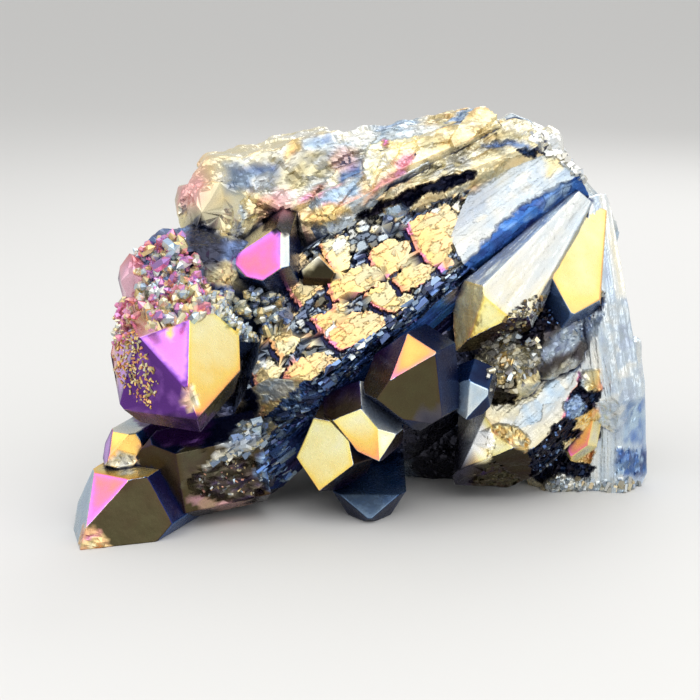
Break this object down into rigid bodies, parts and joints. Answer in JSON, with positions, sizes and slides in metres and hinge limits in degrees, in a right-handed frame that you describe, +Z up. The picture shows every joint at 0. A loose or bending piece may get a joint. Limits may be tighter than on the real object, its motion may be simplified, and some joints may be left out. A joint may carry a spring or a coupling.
{
  "type": "aura quartz cluster",
  "caption": "Hand-sized cluster of metal-coated quartz crystals: a broken fan of long crystals with large points and small crystals at its front, cut flat below so that it rests.",
  "frame": {"origin": "under the middle of the cluster's box, on the surface that it rests on", "axes": "+Z up; -Y is the front, where the large points end; +X is towards the broken root of the fan"},
  "size_m": [0.0688, 0.0492, 0.047],
  "materials": {
    "aura_coating": "thin iridescent metal film on quartz: gold, rose, violet and blue, glossy on crystal faces and satin on broken ones"
  },
  "bodies": {
    "root": {"quartz_cluster": "aura_coating"}
  },
  "joints": []
}
